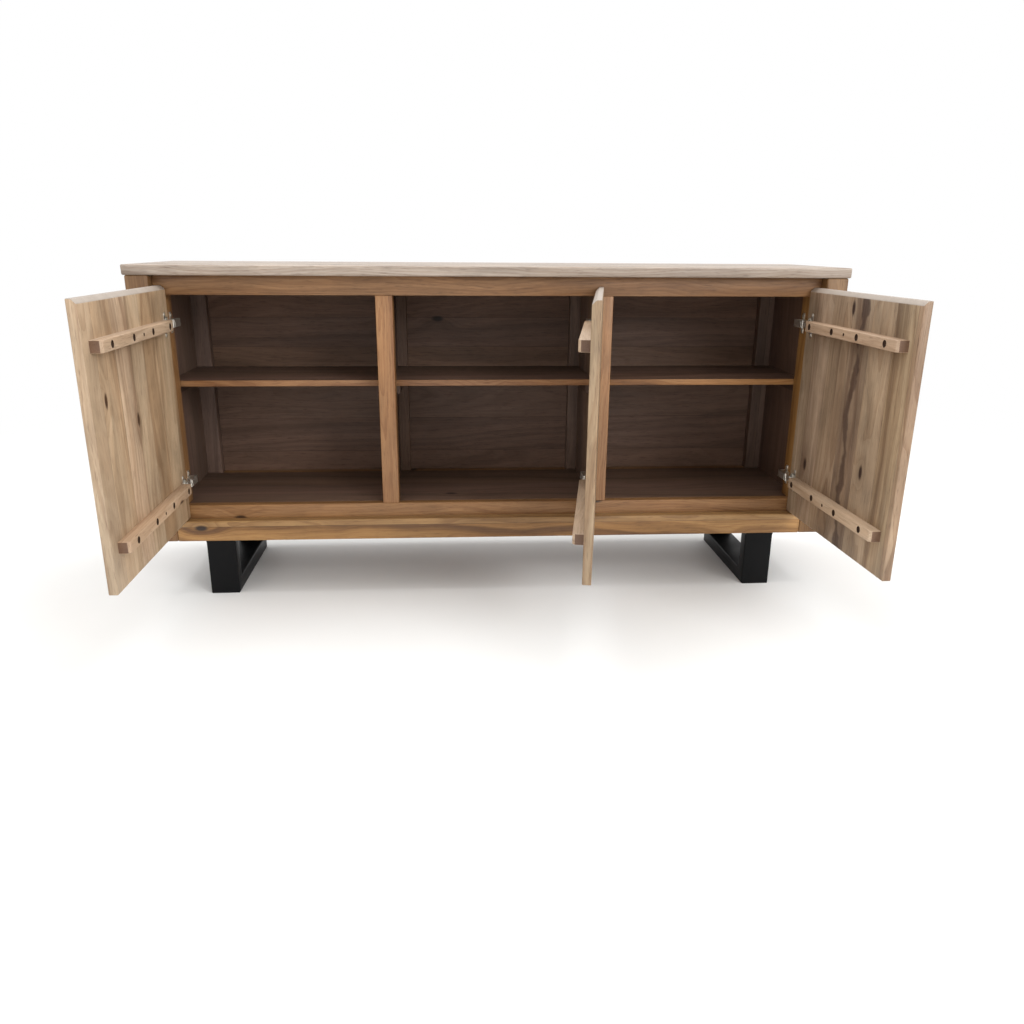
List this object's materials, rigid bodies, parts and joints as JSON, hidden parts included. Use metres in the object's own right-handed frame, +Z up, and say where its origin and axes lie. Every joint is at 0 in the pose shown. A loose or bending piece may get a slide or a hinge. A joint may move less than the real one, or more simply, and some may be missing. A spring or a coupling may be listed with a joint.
{
  "type": "sideboard buffet",
  "caption": "Low solid-wood sideboard with a live-edge top, three hinged doors over shelved compartments, and black steel loop legs.",
  "frame": {"origin": "on the floor, at the centre of the whole box the part fills with its doors open as shown", "axes": "+X to the right seen from the front, +Y from the doors towards the back, +Z up"},
  "size_m": [1.8, 0.9712, 0.85],
  "materials": {
    "frame_wood": "satin, oiled",
    "inner_wood": "matte, oiled",
    "door_wood": "satin, oiled",
    "batten_wood": "satin, oiled",
    "black_steel": "satin black powder coat",
    "nickel": "bright nickel plate",
    "dark_screw": "dark zinc",
    "solid_top": "satin, oiled, live front edge"
  },
  "bodies": {
    "case": {"top_board": "solid_top", "left_front_post": "frame_wood", "right_front_post": "frame_wood", "left_rear_post": "frame_wood", "right_rear_post": "frame_wood", "left_side_panel": "inner_wood", "right_side_panel": "inner_wood", "top_front_rail": "frame_wood", "bottom_front_rail": "frame_wood", "bottom_inner_rail": "frame_wood", "top_rear_rail": "frame_wood", "bottom_rear_rail": "frame_wood", "left_inner_stile": "frame_wood", "right_inner_stile": "frame_wood", "left_divider_stile": "frame_wood", "right_divider_stile": "frame_wood", "left_divider_rear_stile": "inner_wood", "right_divider_rear_stile": "inner_wood", "left_divider_panel": "inner_wood", "right_divider_panel": "inner_wood", "floor_panel": "inner_wood", "back_panel": "inner_wood", "left_shelf": "inner_wood", "middle_shelf": "inner_wood", "right_shelf": "inner_wood", "shelf_cleats": "inner_wood", "top_screws": "dark_screw", "leg_screws": "dark_screw", "left_leg_front_tube": "black_steel", "left_leg_rear_tube": "black_steel", "left_leg_bottom_tube": "black_steel", "left_leg_plate": "black_steel", "right_leg_front_tube": "black_steel", "right_leg_rear_tube": "black_steel", "right_leg_bottom_tube": "black_steel", "right_leg_plate": "black_steel", "hinge_arms": "nickel", "hinge_plates": "nickel", "plate_screws": "nickel"},
    "left_links": {"left_hinge_links": "nickel"},
    "left_door": {"left_door_panel": "door_wood", "left_top_batten": "batten_wood", "left_bottom_batten": "batten_wood", "left_batten_screws": "dark_screw", "left_hinge_cups": "nickel", "left_cup_screws": "nickel"},
    "middle_links": {"middle_hinge_links": "nickel"},
    "middle_door": {"middle_door_panel": "door_wood", "middle_top_batten": "batten_wood", "middle_bottom_batten": "batten_wood", "middle_batten_screws": "dark_screw", "middle_hinge_cups": "nickel", "middle_cup_screws": "nickel"},
    "right_links": {"right_hinge_links": "nickel"},
    "right_door": {"right_door_panel": "door_wood", "right_top_batten": "batten_wood", "right_bottom_batten": "batten_wood", "right_batten_screws": "dark_screw", "right_hinge_cups": "nickel", "right_cup_screws": "nickel"}
  },
  "joints": [
    {"name": "left_link_pivot", "type": "hinge", "parent": "case", "child": "left_links", "pos_m": [-0.802, 0.0791, 0.5045], "axis": [0, 0, 1], "range_deg": [-36.01, 6.01]},
    {"name": "left_door_swing", "type": "hinge", "parent": "left_links", "child": "left_door", "pos_m": [-0.81322, 0.05711, 0.5045], "axis": [0, 0, 1], "range_deg": [-21, 126]},
    {"name": "middle_link_pivot", "type": "hinge", "parent": "case", "child": "middle_links", "pos_m": [0.24333, 0.0791, 0.5045], "axis": [0, 0, 1], "range_deg": [-10.01, 32.01]},
    {"name": "middle_door_swing", "type": "hinge", "parent": "middle_links", "child": "middle_door", "pos_m": [0.25605, 0.05794, 0.5045], "axis": [0, 0, 1], "range_deg": [-112, 35]},
    {"name": "right_link_pivot", "type": "hinge", "parent": "case", "child": "right_links", "pos_m": [0.802, 0.0791, 0.5045], "axis": [0, 0, 1], "range_deg": [-5.61, 36.41]},
    {"name": "right_door_swing", "type": "hinge", "parent": "right_links", "child": "right_door", "pos_m": [0.81306, 0.05703, 0.5045], "axis": [0, 0, 1], "range_deg": [-127.4, 19.6]}
  ],
  "couplings": [
    {"joint": "left_link_pivot", "follows": "left_door_swing", "ratio": -0.28571},
    {"joint": "middle_link_pivot", "follows": "middle_door_swing", "ratio": -0.28571},
    {"joint": "right_link_pivot", "follows": "right_door_swing", "ratio": -0.28571}
  ]
}
